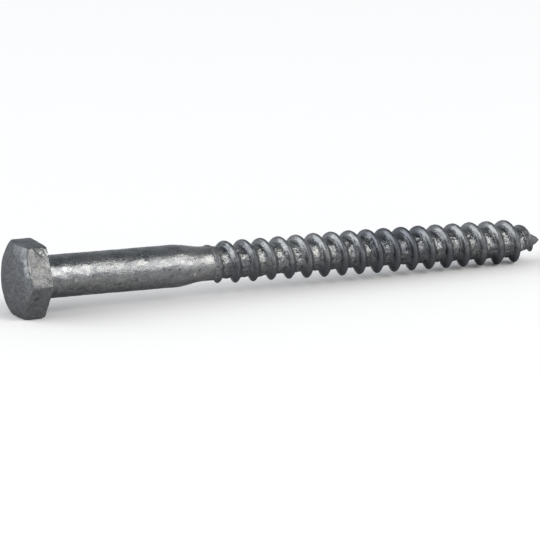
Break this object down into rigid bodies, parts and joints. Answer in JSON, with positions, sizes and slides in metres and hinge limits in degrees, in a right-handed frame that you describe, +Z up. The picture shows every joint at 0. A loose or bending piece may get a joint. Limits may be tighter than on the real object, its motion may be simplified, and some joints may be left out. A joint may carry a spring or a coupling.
{
  "type": "lag screw",
  "caption": "Hexagon-head galvanised lag screw with a plain shank, a coarse right-hand wood thread and a gimlet point.",
  "frame": {"origin": "centre of the bearing face, which is the underside of the head, on the screw's axis", "axes": "+X runs from the head towards the point, level with the floor it lies on; +Z is up; the screw's own axis dips by the rest tilt of about 1.5 degrees from +X towards -Z"},
  "size_m": [0.1068, 0.0148, 0.0131],
  "materials": {
    "galvanised_steel": "hot-dip galvanised, dull and mottled"
  },
  "bodies": {
    "root": {"lag_screw": "galvanised_steel"}
  },
  "joints": []
}
